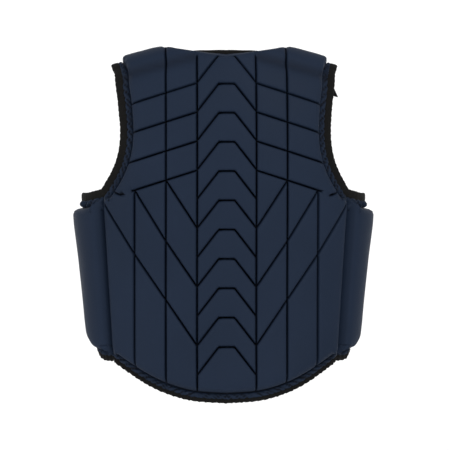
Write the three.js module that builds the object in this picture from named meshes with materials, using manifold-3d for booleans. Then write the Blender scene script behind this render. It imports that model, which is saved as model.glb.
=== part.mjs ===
import * as THREE from "three";
import { mergeVertices } from "three/addons/utils/BufferGeometryUtils.js";
import Module from "manifold-3d";

// A rider's body protector: a sleeveless padded vest of grooved foam panels under navy fabric.
// The padded back runs over both shoulders as flaps, which straps fasten to the two front panels.
// Plain side panels close the trunk, black tape binds the edges and a zip closes the front.
// Millimetres, +Z up. The wearer faces +Y, so +X is the wearer's right. The origin is midway
// between the shoulders, at the height where the wearer's shoulders carry the vest.

const wasm = await Module();
wasm.setup();

// Sizes of the trunk
const chestWidth = 468; // outer width just under the arms
const backDepth = 118; // centre plane to the outer face of the back at the shoulder blades
const frontDepth = 114; // centre plane to the outer face of the front at the chest
const hemDrop = 507; // shoulder rest down to the lowest point of the back
const hemStep = 4; // the foot of the back below the foot of the side panels beside it
const sideDrop = 444; // shoulder rest down to the foot of the side panels at the back
const sideFrontDrop = 408; // the same at the front, where the foot is higher
const armholeDrop = 198; // shoulder rest down to the corner under the arm
const seamStep = 3; // top corner of a side panel below that corner
const frontNeckDrop = 78; // shoulder rest down to the front neckline
const frontHemDrop = 424; // shoulder rest down to the front hem at the zip
const sectionPower = 2.3; // 2 is an ellipse, and more is squarer

// Sizes of the shoulders
const shoulderHalf = 167; // centre plane to the outer edge of the padded shoulder
const crestShort = 6; // how much further in that edge runs over the crest
const frontShoulderHalf = 155; // the same on the front panels
const crownStep = 3; // how much further in that edge starts at the joint
const neckHalf = 87; // centre plane to the padded neck edge at the crest
const neckStep = 3; // how much further out it ends on the flap
const frontNeckStep = 4; // how much further out the front panels start
const napeRise = 19; // shoulder rest up to the padded neck edge at the spine
const foldRise = 20; // shoulder rest up to the shoulder fold at the centre plane
const shoulderSlope = 0.27; // fall of the fold for each millimetre outwards
const napeRound = 20; // where the slopes of the two shoulders run into each other
const shoulderRadius = 41; // outer face over the crest
const flapTilt = 135; // degrees from upright at the end of the flap
const jointTilt = 155; // degrees from upright where the front panel starts

// Walls, grooves and edges
const foam = 22; // padding with its cover
const web = 9; // what is left under a groove
const edgeWall = 5; // wall at the outline, where the tape grips it
const grooveWidth = 2.6;
const creaseDepth = 5; // soft valley along the shoulder fold
const creaseReach = 9;
const armMargin = 12; // outline to the foot of the full padding
const crestMargin = 7;
const hemMargin = 10;
const neckMargin = 8;
const seamMargin = 7;
const panelGap = 1.6; // between neighbouring panels
const seatGap = 0.5; // between a tape and the edge that it binds
const neckGap = 3; // the same at the neck, where the edge twists over the shoulder
const strapGap = 1.3; // between a strap and the padding that it lies on

// Block pattern of the back
const spineHalf = 44.9; // centre plane to the groove beside the spine
const columnWidth = 47.3; // pitch of the upright grooves beyond it
const rowPitch = 44.1; // pitch of the shoulder rows and of the spine blocks
const rowDrop = 30; // shoulder rest down to the first row groove, at the spine groove
const rowSlope = 0.315; // fall of a row for each millimetre outwards
const rowCount = 4; // the last row groove is the yoke
const yokeShort = 5; // from the armhole edge in to where the yoke turns up
const yokeTail = 14; // run of the yoke from there to its end
const yokeTailRise = 6;
const ridgeRise = 13; // shoulder rest up to the flat top of the first spine block
const ridgeHalf = 12; // half of that flat top
const ridgeFall = 42; // fall of a spine block from its flat top to the spine groove
const ridgeCount = 11;
const raySlope = 1.45; // fall of the long slanting grooves for each millimetre inwards
const rayTop = 209; // shoulder rest down to the upper end of the outermost one

// Block pattern of the front
const frontPitch = 84;
const frontRowCount = 4;
const frontRowRise = 9; // rise of a row groove from the zip to the side

// Front closure, straps and tape
const zipHalf = 9; // centre plane to the edge of a front panel
const zipTape = 2;
const zipChain = 6;
const zipShort = 1; // ends of the zip, inside the edges of the front
const sliderDrop = 4; // neck edge of the front down to the slider
const sliderLength = 14;
const sliderWall = 3;
const pullDrop = 6; // top of the slider down to the top of its pull
const pullLength = 38;
const pullWall = 2;
const strapWidth = 54;
const strapWall = 2.5;
const strapOnFlap = 12;
const strapOnFront = 36;
const strapSlant = 27; // how far out the front end of the right strap has slipped
const armholeTapeWidth = 11;
const neckTapeWidth = 5.5;
const hemTapeWidth = 7;
const tapeWall = 4;

const chordError = 1.35; // how far a facet may leave the true bent face
const longestEdge = 90;
const shortestEdge = 20; // an edge under this is left whole
const bendRounds = 12; // a sliver between cuts could be halved without end

const degrees = Math.PI / 180;
const clamp01 = (t) => Math.min(1, Math.max(0, t));
const ease = (t) => clamp01(t) ** 2 * (3 - 2 * clamp01(t));
const mix = (a, b, t) => a + (b - a) * t;

// Shape of the trunk down its height. level is a share of hemDrop, half a share of half the
// chest width, and back a share of backDepth.
const trunkRows = [
  { level: -1.02, half: 0.88, back: 1.0 },
  { level: -0.8, half: 0.913, back: 0.93 },
  { level: -0.6, half: 0.958, back: 0.94 },
  { level: -0.42, half: 1.0, back: 0.99 },
  { level: -0.22, half: 1.0, back: 1.0 },
  { level: -0.06, half: 1.0, back: 0.93 },
  { level: 0.04, half: 1.0, back: 0.82 },
  { level: 0.14, half: 1.0, back: 0.68 },
];

// Swell of the front below the shoulder joint. down is a share of the height from the joint to
// the corner under the arm, and swell a share of the way from the joint out to frontDepth.
const frontRows = [
  { down: -0.1, swell: -0.11 },
  { down: 0, swell: 0 },
  { down: 0.25, swell: 0.285 },
  { down: 0.5, swell: 0.58 },
  { down: 0.75, swell: 0.84 },
  { down: 1, swell: 0.97 },
  { down: 1.3, swell: 1 },
  { down: 1.75, swell: 0.97 },
  { down: 2.1, swell: 0.95 },
];

// Reads a column of a table at a place between its rows, smoothly.
function read(sorted, key, column, at) {
  const last = sorted.length - 1;
  const place = Math.min(Math.max(at, sorted[0][key]), sorted[last][key]);
  const i = Math.min(last - 1, Math.max(0, sorted.findIndex((r) => r[key] >= place) - 1));
  const slope = (j) => {
    const a = sorted[Math.max(0, j - 1)];
    const b = sorted[Math.min(last, j + 1)];
    return (b[column] - a[column]) / (b[key] - a[key]);
  };
  const span = sorted[i + 1][key] - sorted[i][key];
  const t = (place - sorted[i][key]) / span;
  const t2 = t * t;
  const t3 = t2 * t;
  return (
    (2 * t3 - 3 * t2 + 1) * sorted[i][column] +
    (t3 - 2 * t2 + t) * span * slope(i) +
    (3 * t2 - 2 * t3) * sorted[i + 1][column] +
    (t3 - t2) * span * slope(i + 1)
  );
}

const shoulderFall = (x) => shoulderSlope * (Math.hypot(x, napeRound) - napeRound);
const foldZ = (x) => foldRise - shoulderFall(x);

// Height on the trunk, with the slope of the shoulders taken out towards the top.
function levelOf(x, z) {
  return z + shoulderFall(x) * ease(1 + z / armholeDrop);
}

const halfAt = (level) => (chestWidth / 2) * read(trunkRows, "level", "half", level / hemDrop);
const backAt = (level) => backDepth * read(trunkRows, "level", "back", level / hemDrop);

// Share of the depth that is left at x, out of 1 at the centre plane.
function crownAt(x, level) {
  const share = Math.min(1, Math.abs(x) / halfAt(level));
  return (1 - share ** sectionPower) ** (1 / sectionPower);
}

function backY(x, z) {
  const level = levelOf(x, z);
  return -backAt(level) * crownAt(x, level);
}

// Over the shoulder the face turns with shoulderRadius, from the tilt that it has at the fold.
const foldTilt = (x) => Math.atan(backY(x, foldZ(x)) - backY(x, foldZ(x) - 1));
const arcTo = (x, tilt) => shoulderRadius * (tilt * degrees - foldTilt(x));
const riseTo = (x, tilt) => shoulderRadius * (Math.sin(tilt) - Math.sin(foldTilt(x)));
const leadTo = (x, tilt) => shoulderRadius * (Math.cos(foldTilt(x)) - Math.cos(tilt));

const jointZ = (x) => foldZ(x) + riseTo(x, jointTilt * degrees);
const jointY = (x) => backY(x, foldZ(x)) + leadTo(x, jointTilt * degrees);
const downFrom = (level) => (jointZ(0) - level) / (jointZ(0) + armholeDrop);

function frontAt(level) {
  return mix(jointY(0), frontDepth, read(frontRows, "down", "swell", downFrom(level)));
}

// Outer face of the back. Below the fold v is the height, and above it the way over the shoulder.
function backFace(x, v) {
  const fold = foldZ(x);
  if (v <= fold) return new THREE.Vector3(x, backY(x, v), v);
  const tilt = foldTilt(x) + (v - fold) / shoulderRadius;
  return new THREE.Vector3(x, backY(x, fold) + leadTo(x, tilt), fold + riseTo(x, tilt));
}

// Outer face of the front, seen from the front: a runs towards the wearer's left.
function frontFace(a, v) {
  const level = levelOf(a, v);
  const depth = frontAt(level);
  const chest = ease(downFrom(level));
  const round = depth * crownAt(a, level);
  const shoulder = depth + jointY(a) - jointY(0);
  return new THREE.Vector3(-a, mix(shoulder, round, chest), v);
}

// The seam between a side panel and the back or the front: how far out it lies at a height.
const seamTop = 192;
const seamFoot = 177;
const seamX = (v) => mix(seamTop, seamFoot, (-v - armholeDrop) / (sideDrop - armholeDrop));
const sideSpan = 160; // flat width of a side panel from seam to seam

// Outer face of the right side, from the seam with the back at u = 0 to the one with the front.
function sideFace(u, v) {
  const half = halfAt(v);
  const crown = crownAt(seamX(v), v);
  const y = mix(-backAt(v) * crown, frontAt(v) * crown, u / sideSpan);
  const depth = y < 0 ? backAt(v) : frontAt(v);
  const x = half * (1 - Math.abs(y / depth) ** sectionPower) ** (1 / sectionPower);
  return new THREE.Vector3(x, y, v);
}

// Puts a flat point (across, up, height off the inner face) on a bent face.
function bend(face, crease = () => 0) {
  const step = 0.5;
  return (p) => {
    const along = face(p.x + step, p.y).sub(face(p.x - step, p.y));
    const up = face(p.x, p.y + step).sub(face(p.x, p.y - step));
    const out = along.cross(up).normalize();
    const sunk = crease(p.x, p.y) * clamp01(p.z / foam);
    return face(p.x, p.y).addScaledVector(out, p.z - foam - sunk);
  };
}

function shoulderCrease(x, v) {
  const outward = ease((Math.abs(x) - spineHalf) / creaseReach + 0.5);
  return creaseDepth * outward * Math.exp(-(((v - foldZ(x)) / creaseReach) ** 2));
}

const onBack = bend(backFace, shoulderCrease);
const onFront = bend(frontFace);
const onSide = bend(sideFace);

// Closed triangle meshes: to and from manifold-3d, and turned to face out.
function solidOf(geometry) {
  const bare = geometry.clone();
  bare.deleteAttribute("normal");
  bare.deleteAttribute("uv");
  const merged = mergeVertices(bare, 1e-4);
  return new wasm.Manifold(
    new wasm.Mesh({
      numProp: 3,
      vertProperties: merged.attributes.position.array,
      triVerts: new Uint32Array(merged.index.array),
    }),
  );
}

function meshArrays(solid) {
  const mesh = solid.getMesh();
  const points = [];
  for (let i = 0; i < mesh.numVert; i++) {
    points.push(new THREE.Vector3().fromArray(mesh.vertProperties, i * mesh.numProp));
  }
  return { points, faces: Array.from(mesh.triVerts) };
}

function geometryOf(points, faces) {
  const geometry = new THREE.BufferGeometry().setFromPoints(points).setIndex(faces);
  const a = new THREE.Vector3();
  let volume = 0;
  for (let i = 0; i < faces.length; i += 3) {
    volume += a.crossVectors(points[faces[i + 1]], points[faces[i + 2]]).dot(points[faces[i]]);
  }
  if (volume < 0) {
    for (let i = 0; i < faces.length; i += 3) {
      [faces[i + 1], faces[i + 2]] = [faces[i + 2], faces[i + 1]];
    }
    geometry.setIndex(faces);
  }
  return geometry;
}

// Bends a flat solid. An edge is halved while its middle would stray from the bent face.
function bentGeometry(solid, place) {
  const { points, faces } = meshArrays(solid);
  const bent = points.map(place);
  const middles = new Map();
  const middleOf = (i, j) => {
    const key = i < j ? `${i},${j}` : `${j},${i}`;
    if (!middles.has(key)) {
      const flat = points[i].clone().add(points[j]).multiplyScalar(0.5);
      const straight = bent[i].clone().add(bent[j]).multiplyScalar(0.5);
      const round = place(flat);
      const length = bent[i].distanceTo(bent[j]);
      const strays = straight.distanceTo(round) > chordError && length > shortestEdge;
      const split = strays || length > longestEdge;
      middles.set(key, split ? points.push(flat) - 1 : -1);
      if (split) bent.push(round);
    }
    return middles.get(key);
  };
  let work = [];
  let next = faces;
  for (let pass = 0; pass < bendRounds && next.length > work.length; pass++) {
    work = next;
    next = [];
    for (let t = 0; t < work.length; t += 3) {
      const [a, b, c] = work.slice(t, t + 3);
      splitTriangle(a, b, c, middleOf(a, b), middleOf(b, c), middleOf(c, a), bent, next);
    }
  }
  return geometryOf(bent, work);
}

// Adds the triangles that a, b, c becomes when some of its edges have a middle point.
function splitTriangle(a, b, c, ab, bc, ca, points, out) {
  const cut = [ab, bc, ca].filter((m) => m >= 0).length;
  if (cut === 0) {
    out.push(a, b, c);
  } else if (cut === 3) {
    out.push(a, ab, ca, ab, b, bc, ca, bc, c, ab, bc, ca);
  } else if (cut === 1) {
    if (ab >= 0) out.push(a, ab, c, ab, b, c);
    else if (bc >= 0) out.push(b, bc, a, bc, c, a);
    else out.push(c, ca, b, ca, a, b);
  } else if (ab < 0) {
    splitQuad(a, b, c, bc, ca, points, out);
  } else if (bc < 0) {
    splitQuad(b, c, a, ca, ab, points, out);
  } else {
    splitQuad(c, a, b, ab, bc, points, out);
  }
}

// Edge a-b is whole, and p and q are the middles of b-c and c-a.
function splitQuad(a, b, c, p, q, points, out) {
  out.push(q, p, c);
  if (points[a].distanceTo(points[p]) < points[b].distanceTo(points[q])) {
    out.push(a, b, p, a, p, q);
  } else {
    out.push(a, b, q, b, p, q);
  }
}

// Outlines are lists of points with a margin: how far in the full padding starts.
const spot = (x, v, margin) => ({ x, v, margin });

function smooth(points, steps) {
  const curve = new THREE.SplineCurve(points.map((p) => new THREE.Vector2(p.x, p.v)));
  return curve.getPoints(steps).map((q, i) => {
    const at = (i / steps) * (points.length - 1);
    const k = Math.min(points.length - 2, Math.floor(at));
    return spot(q.x, q.y, mix(points[k].margin, points[k + 1].margin, at - k));
  });
}

// Moves each point of a closed outline inwards by a share of its margin.
function inset(outline, share) {
  const turn = Math.sign(
    outline.reduce((sum, p, i) => {
      const q = outline[(i + 1) % outline.length];
      return sum + p.x * q.v - q.x * p.v;
    }, 0),
  );
  return outline.map((p, i) => {
    const before = outline[(i + outline.length - 1) % outline.length];
    const after = outline[(i + 1) % outline.length];
    const a = new THREE.Vector2(p.x - before.x, p.v - before.v).normalize();
    const b = new THREE.Vector2(after.x - p.x, after.v - p.v).normalize();
    const inward = new THREE.Vector2(-(a.y + b.y), a.x + b.x).normalize().multiplyScalar(turn);
    const lean = Math.max(0.62, inward.x * -a.y * turn + inward.y * a.x * turn);
    const move = (p.margin * share) / lean;
    return spot(p.x + inward.x * move, p.v + inward.y * move, p.margin);
  });
}

// A closed solid through loops of equal length, each at its own height.
function loft(loops) {
  const count = loops[0].outline.length;
  const points = loops.flatMap(({ outline, height }) =>
    outline.map((p) => new THREE.Vector3(p.x, p.v, height)),
  );
  const faces = [];
  for (let k = 0; k + 1 < loops.length; k++) {
    for (let i = 0; i < count; i++) {
      const a = k * count + i;
      const b = k * count + ((i + 1) % count);
      faces.push(a, b, b + count, a, b + count, a + count);
    }
  }
  for (const k of [0, loops.length - 1]) {
    const flat = loops[k].outline.map((p) => new THREE.Vector2(p.x, p.v));
    const cap = THREE.ShapeUtils.triangulateShape(flat, []);
    const start = k * count;
    const area = THREE.ShapeUtils.area(flat);
    for (const [a, b, c] of cap) {
      const along = THREE.ShapeUtils.area([flat[a], flat[b], flat[c]]) * area > 0;
      const [p, q] = along === k > 0 ? [b, c] : [c, b];
      faces.push(start + a, start + p, start + q);
    }
  }
  return solidOf(geometryOf(points, faces));
}

// The padded body of a panel: a thin edge that swells to the full wall within its margin.
function pad(outline) {
  return loft([
    { outline, height: 0 },
    { outline, height: edgeWall },
    { outline: inset(outline, 0.45), height: mix(edgeWall, foam, 0.7) },
    { outline: inset(outline, 1), height: foam },
  ]);
}

function sheetSolid(outline, low, high) {
  return loft([
    { outline, height: low },
    { outline, height: high },
  ]);
}

// A groove along a bent line: the strip that is cut away above the web.
function groove(line, width = grooveWidth) {
  const sides = [1, -1].map((side) =>
    line.map(([x, v], i) => {
      const [ax, av] = line[Math.max(0, i - 1)];
      const [bx, bv] = line[Math.min(line.length - 1, i + 1)];
      const before = new THREE.Vector2(x - ax, v - av).normalize();
      const after = new THREE.Vector2(bx - x, bv - v).normalize();
      const way = before.clone().add(after).normalize();
      const ends = i === 0 || i === line.length - 1;
      const reach = ((side * width) / 2) / (ends ? 1 : way.dot(before));
      return new THREE.Vector2(x - way.y * reach, v + way.x * reach);
    }),
  );
  const shape = new THREE.Shape([...sides[0], ...sides[1].reverse()]);
  const strip = new THREE.ExtrudeGeometry(shape, { depth: foam, bevelEnabled: false });
  return solidOf(strip.translate(0, 0, web));
}

const crestEnd = (x) => foldZ(x) + arcTo(x, 90);
const flapEnd = (x) => foldZ(x) + arcTo(x, flapTilt);

const mirrorLine = (line) => line.map(([x, v]) => [-x, v]);
const cutAll = (solid, cutters) => solid.subtract(cutters.reduce((all, cutter) => all.add(cutter)));

// Grooves of the back, in flat positions
const column = (n) => spineHalf + n * columnWidth;
const rowZ = (row, x) => -rowDrop - row * rowPitch - rowSlope * (x - spineHalf);
const ridgeZ = (n) => ridgeRise - n * rowPitch;
const ridgeEnd = (n) => ridgeZ(n) - ridgeFall;
const yokeZ = (x) => rowZ(rowCount - 1, x);
const yokeEnd = shoulderHalf - yokeShort;

function spineGrooves() {
  const ridges = Array.from({ length: ridgeCount }, (_, n) => [
    [-spineHalf, ridgeEnd(n)],
    [-ridgeHalf, ridgeZ(n)],
    [ridgeHalf, ridgeZ(n)],
    [spineHalf, ridgeEnd(n)],
  ]);
  return ridges.map((line) => groove(line));
}

// The slanting grooves end where every second spine block meets the spine groove.
function rayLines() {
  const lowest = ridgeCount - 2;
  const climb = (n, columns) => ridgeEnd(n) + raySlope * columns * columnWidth;
  return [
    [
      [column(0), ridgeEnd(lowest - 4)],
      [column(1), yokeZ(column(1))],
    ],
    [
      [column(0), ridgeEnd(lowest - 2)],
      [column(1), climb(lowest - 2, 1)],
      [column(2), yokeZ(column(2))],
    ],
    [
      [column(0), ridgeEnd(lowest)],
      [column(1), climb(lowest, 1)],
      [column(2), climb(lowest, 2)],
      [seamTop - seamMargin / 2, -rayTop],
    ],
  ];
}

function sideGrooves() {
  const rows = Array.from({ length: rowCount - 1 }, (_, row) => [
    [column(0), rowZ(row, column(0))],
    [shoulderHalf, rowZ(row, shoulderHalf)],
  ]);
  const yoke = [
    [column(0), yokeZ(column(0))],
    [yokeEnd, yokeZ(yokeEnd)],
    [yokeEnd + yokeTail, yokeZ(yokeEnd) + yokeTailRise],
  ];
  const fold = [column(0), column(1), shoulderHalf].map((x) => [x, foldZ(x)]);
  const uprights = [
    [
      [column(0), -hemDrop],
      [column(0), foldZ(column(0))],
    ],
    [
      [column(1), -hemDrop],
      [column(1), flapEnd(column(1))],
    ],
    [
      [column(2), -hemDrop],
      [column(2), yokeZ(column(2))],
    ],
  ];
  const right = [...rows, yoke, fold, ...uprights, ...rayLines()];
  return [...right, ...right.map(mirrorLine)].map((line) => groove(line));
}

// Right-hand edge of the back or the front at the armhole, from the shoulder down to the seam.
// out is a share of the shoulder's half width and drop one of armholeDrop.
const armholeRows = [
  { out: 0.982, drop: 0.1 },
  { out: 0.955, drop: 0.28 },
  { out: 0.94, drop: 0.43 },
  { out: 0.937, drop: 0.54 },
  { out: 0.949, drop: 0.65 },
  { out: 0.982, drop: 0.76 },
  { out: 1.036, drop: 0.86 },
  { out: 1.1, drop: 0.945 },
];

const armholeEdge = (rows, top, half) => [
  top,
  ...rows.map((r) => spot(r.out * half, -r.drop * armholeDrop, armMargin)),
  spot(seamTop - panelGap / 2, -armholeDrop, seamMargin),
];

// Hem of the back from the side seam to the centre. out is a share of seamFoot, and drop the
// share of the way from sideDrop to hemDrop.
const hemRows = [
  { out: 0.9, drop: 0.18 },
  { out: 0.72, drop: 0.5 },
  { out: 0.54, drop: 0.74 },
  { out: 0.3, drop: 0.933 },
  { out: 0, drop: 1 },
];

// Neck edge of the back from the centre out to the crest. out is a share of neckHalf and way a
// share of the way from the nape to the crest.
const neckRows = [
  { out: 0, way: 0 },
  { out: 0.3, way: 0.12 },
  { out: 0.52, way: 0.29 },
  { out: 0.71, way: 0.43 },
  { out: 0.86, way: 0.62 },
];

const armholeSteps = 18;

function backHalfOutline() {
  const crest = crestEnd(neckHalf);
  const neck = [
    ...neckRows.map((r) => spot(r.out * neckHalf, mix(napeRise, crest, r.way), neckMargin)),
    spot(neckHalf, crest, neckMargin),
    spot(neckHalf + neckStep, flapEnd(neckHalf), neckMargin),
  ];
  const crestOut = shoulderHalf - crestShort;
  const crown = spot(crestOut, crestEnd(crestOut), crestMargin);
  const arm = armholeEdge(armholeRows, crown, shoulderHalf);
  const foot = spot(seamFoot - panelGap / 2, -sideDrop - hemStep, hemMargin);
  const hem = hemRows.map((r) =>
    spot(
      r.out * seamFoot,
      -mix(sideDrop + hemStep, hemDrop, r.drop),
      r.out > 0 ? hemMargin : hemMargin / 2,
    ),
  );
  return {
    neck: smooth(neck, 12),
    arm: smooth([spot(crestOut, flapEnd(crestOut), crestMargin), ...arm], armholeSteps),
    hem: smooth([foot, ...hem], 10),
  };
}

const mirrorEdge = (edge) => edge.map((p) => spot(-p.x, p.v, p.margin)).reverse();

function backOutline() {
  const { neck, arm, hem } = backHalfOutline();
  const half = [...neck, ...arm, ...hem];
  return [...half, ...mirrorEdge(half).slice(1, -1)];
}

// The left front, seen from the front, so that its edge at the zip is at the smallest a.
const frontNeckRows = [
  { out: 1, down: 0.2 },
  { out: 0.94, down: 0.45 },
  { out: 0.78, down: 0.72 },
  { out: 0.52, down: 0.91 },
  { out: 0.25, down: 0.99 },
];

function frontEdges() {
  const crownOut = frontShoulderHalf - crownStep;
  const neckOut = neckHalf + frontNeckStep;
  const neckTop = spot(neckOut, jointZ(neckOut), neckMargin);
  const neck = [
    spot(zipHalf, -frontNeckDrop, neckMargin),
    ...[...frontNeckRows]
      .reverse()
      .map((r) => spot(r.out * neckHalf, mix(neckTop.v, -frontNeckDrop, r.down), neckMargin)),
    neckTop,
  ];
  const crown = spot(crownOut, jointZ(crownOut), armMargin);
  const arm = armholeEdge(armholeRows.slice(1), crown, frontShoulderHalf);
  const hem = [
    spot(seamX(-sideFrontDrop) - panelGap / 2, -sideFrontDrop, hemMargin),
    spot(seamFoot * 0.6, -mix(sideFrontDrop, frontHemDrop, 0.75), hemMargin),
    spot(zipHalf, -frontHemDrop, hemMargin),
  ];
  return { neck: smooth(neck, 10), arm: smooth(arm, armholeSteps - 4), hem: smooth(hem, 8) };
}

function frontOutline() {
  const { neck, arm, hem } = frontEdges();
  return [...neck, ...arm, ...hem];
}

// The front has a plain grid of blocks.
function frontGrooves() {
  const uprights = [1, 2].map((n) => {
    const a = zipHalf + (n * (seamFoot - zipHalf)) / 3;
    return [
      [a, -frontHemDrop],
      [a, foldZ(0)],
    ];
  });
  const rows = Array.from({ length: frontRowCount }, (_, row) => {
    const v = -frontNeckDrop - (row + 0.5) * frontPitch;
    return [
      [0, v],
      [chestWidth / 2, v + frontRowRise],
    ];
  });
  return [...uprights, ...rows].map((line) => groove(line));
}

// The right side panel: its top dips under the arm, and its foot climbs towards the front.
const sideDip = 9;

function sideEdges() {
  const edge = panelGap / 2;
  const top = [
    spot(edge, -armholeDrop - seamStep, seamMargin),
    spot(sideSpan * 0.22, -armholeDrop - sideDip, armMargin),
    spot(sideSpan * 0.5, -armholeDrop - sideDip, armMargin),
    spot(sideSpan * 0.78, -armholeDrop - sideDip, armMargin),
    spot(sideSpan - edge, -armholeDrop - seamStep, seamMargin),
  ];
  const foot = [
    spot(sideSpan - edge, -sideFrontDrop, seamMargin),
    spot(sideSpan * 0.75, -sideFrontDrop, hemMargin),
    spot(sideSpan * 0.5, -mix(sideFrontDrop, sideDrop, 0.42), hemMargin),
    spot(sideSpan * 0.22, -mix(sideFrontDrop, sideDrop, 0.96), hemMargin),
    spot(edge, -sideDrop, seamMargin),
  ];
  return { top: smooth(top, 10), foot: smooth(foot, 8) };
}

function sideOutline() {
  const { top, foot } = sideEdges();
  return [...top, ...foot];
}

// A strip of constant section swept through stations, each with a centre and two directions.
function sweep(stations, width, wall, closed) {
  const corners = [
    [-0.5, -0.5],
    [0.5, -0.5],
    [0.5, 0.5],
    [-0.5, 0.5],
  ];
  const points = stations.flatMap(({ centre, across, out }) =>
    corners.map(([a, b]) =>
      centre.clone().addScaledVector(across, a * width).addScaledVector(out, b * wall),
    ),
  );
  const faces = [];
  const rings = closed ? stations.length : stations.length - 1;
  for (let k = 0; k < rings; k++) {
    const next = (k + 1) % stations.length;
    corners.forEach((_, i) => {
      const j = (i + 1) % corners.length;
      const [a, b, c, d] = [k * 4 + i, k * 4 + j, next * 4 + j, next * 4 + i];
      faces.push(a, b, c, a, c, d);
    });
  }
  if (!closed) {
    const end = (stations.length - 1) * 4;
    faces.push(0, 2, 1, 0, 3, 2, end, end + 1, end + 2, end, end + 2, end + 3);
  }
  return geometryOf(points, faces);
}

// Stations of a tape just outside an edge. turn is 1 where the panel lies to the left of it.
function tapeStations(edge, place, turn, width, gap = seatGap) {
  const reach = gap + width / 2;
  const height = edgeWall / 2;
  return edge.map((p, i) => {
    const a = edge[Math.max(0, i - 1)];
    const b = edge[Math.min(edge.length - 1, i + 1)];
    const way = new THREE.Vector2(b.x - a.x, b.v - a.v).normalize();
    const off = (distance) =>
      place(new THREE.Vector3(p.x + way.y * distance * turn, p.v - way.x * distance * turn, height));
    const across = off(reach + 1).sub(off(reach - 1)).normalize();
    const along = place(new THREE.Vector3(p.x + way.x, p.v + way.y, height)).sub(
      place(new THREE.Vector3(p.x - way.x, p.v - way.y, height)),
    );
    return { centre: off(reach), across, out: across.clone().cross(along).normalize() };
  });
}

const flip = (edge) => edge.map((p) => spot(-p.x, p.v, p.margin));

// Over the shoulder, from the end of the flap to the front panel
function bridge(x, steps) {
  return Array.from({ length: steps }, (_, i) =>
    spot(x, foldZ(x) + arcTo(x, mix(flapTilt, jointTilt, (i + 1) / (steps + 1))), 0),
  );
}

function armholeTape() {
  const width = armholeTapeWidth;
  const back = backHalfOutline().arm;
  const front = flip(frontEdges().arm);
  const top = [...sideEdges().top].slice(1, -1);
  const stations = [
    ...tapeStations([...bridge(back[0].x, 2).reverse(), ...back.slice(0, -1)], onBack, -1, width),
    ...tapeStations(top, onSide, -1, width),
    ...tapeStations([...front].reverse().slice(1), onFront, -1, width),
  ];
  return sweep(stations, width, tapeWall, true);
}

function mirrorX(geometry) {
  const points = [];
  const source = geometry.attributes.position;
  for (let i = 0; i < source.count; i++) {
    points.push(new THREE.Vector3(-source.getX(i), source.getY(i), source.getZ(i)));
  }
  return geometryOf(points, Array.from(geometry.index.array));
}

const mirrorStations = (stations) =>
  stations
    .map(({ centre, across, out }) => {
      const m = (p) => new THREE.Vector3(-p.x, p.y, p.z);
      return { centre: m(centre), across: m(across), out: m(out) };
    })
    .reverse();

// Right half from the centre back to the zip, then mirrored to the left
function neckTape() {
  const width = neckTapeWidth;
  const back = backHalfOutline().neck;
  const front = flip(frontEdges().neck).reverse();
  const half = [
    ...tapeStations([...back, ...bridge(back.at(-1).x, 2)], onBack, -1, width, neckGap),
    ...tapeStations(front, onFront, -1, width),
  ];
  const stations = [...mirrorStations(half).slice(0, -1), ...half];
  return sweep(stations, width, tapeWall, false);
}

function hemTape() {
  const width = hemTapeWidth;
  const back = [...backHalfOutline().hem].reverse();
  const side = [...sideEdges().foot].reverse().slice(1, -1);
  const front = flip(frontEdges().hem);
  const half = [
    ...tapeStations(back, onBack, 1, width),
    ...tapeStations(side, onSide, 1, width),
    ...tapeStations(front, onFront, 1, width),
  ];
  const stations = [...mirrorStations(half).slice(0, -1), ...half];
  return sweep(stations, width, tapeWall, false);
}

// The right strap lies on the flap, spans the joint and lies on the front panel. Its front end
// may be slipped outwards.
function shoulderStrap(slant) {
  const middle = (neckHalf + shoulderHalf) / 2;
  const height = foam + strapGap + strapWall / 2;
  const steps = 12;
  const start = arcTo(middle, flapTilt) - strapOnFlap;
  const end = arcTo(middle, jointTilt) + strapOnFront;
  const middleAt = (way) => middle + (slant * (way - start)) / (end - start);
  const at = (x, way) => {
    const past = way - arcTo(x, jointTilt);
    if (past <= 0) return onBack(new THREE.Vector3(x, foldZ(x) + way, height));
    return onFront(new THREE.Vector3(-x, jointZ(x) + past * Math.cos(jointTilt * degrees), height));
  };
  const stations = Array.from({ length: steps + 1 }, (_, i) => {
    const way = mix(start, end, i / steps);
    const x = middleAt(way);
    const across = at(x + 1, way).sub(at(x - 1, way)).normalize();
    const along = at(x, way + 1).sub(at(x, way - 1));
    return { centre: at(x, way), across, out: across.clone().cross(along).normalize() };
  });
  return sweep(stations, strapWidth, strapWall, false);
}

// The zip: a tape behind the gap between the front panels, with a raised chain down its middle
function zip() {
  const half = zipHalf - seatGap;
  const top = -frontNeckDrop - zipShort;
  const foot = -frontHemDrop + zipShort;
  const box = (reach) => [
    spot(-reach, foot, 0),
    spot(reach, foot, 0),
    spot(reach, top, 0),
    spot(-reach, top, 0),
  ];
  const tape = sheetSolid(box(half), edgeWall / 2, edgeWall / 2 + zipTape);
  const chain = sheetSolid(box(zipChain / 2), edgeWall / 2 + zipTape / 2, edgeWall / 2 + zipTape * 2);
  return tape.add(chain);
}

function zipSlider() {
  const low = edgeWall / 2 + zipTape * 2 + seatGap;
  const top = -frontNeckDrop - sliderDrop;
  const pullTop = top - pullDrop;
  const box = (half, from, to) => [
    spot(-half, from, 0),
    spot(half, from, 0),
    spot(half, to, 0),
    spot(-half, to, 0),
  ];
  const body = sheetSolid(box(zipChain * 0.8, top - sliderLength, top), low, low + sliderWall);
  const pullLow = low + sliderWall - pullWall / 2;
  const pull = sheetSolid(
    box(zipChain * 0.5, pullTop - pullLength, pullTop),
    pullLow,
    pullLow + pullWall,
  );
  return body.add(pull);
}

const navy = new THREE.MeshStandardMaterial({ color: 0x252f42, roughness: 0.85 });
const black = new THREE.MeshStandardMaterial({ color: 0x121212, roughness: 0.9 });
const zipBlack = new THREE.MeshStandardMaterial({ color: 0x15161a, roughness: 0.5 });

const vest = new THREE.Group();

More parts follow.
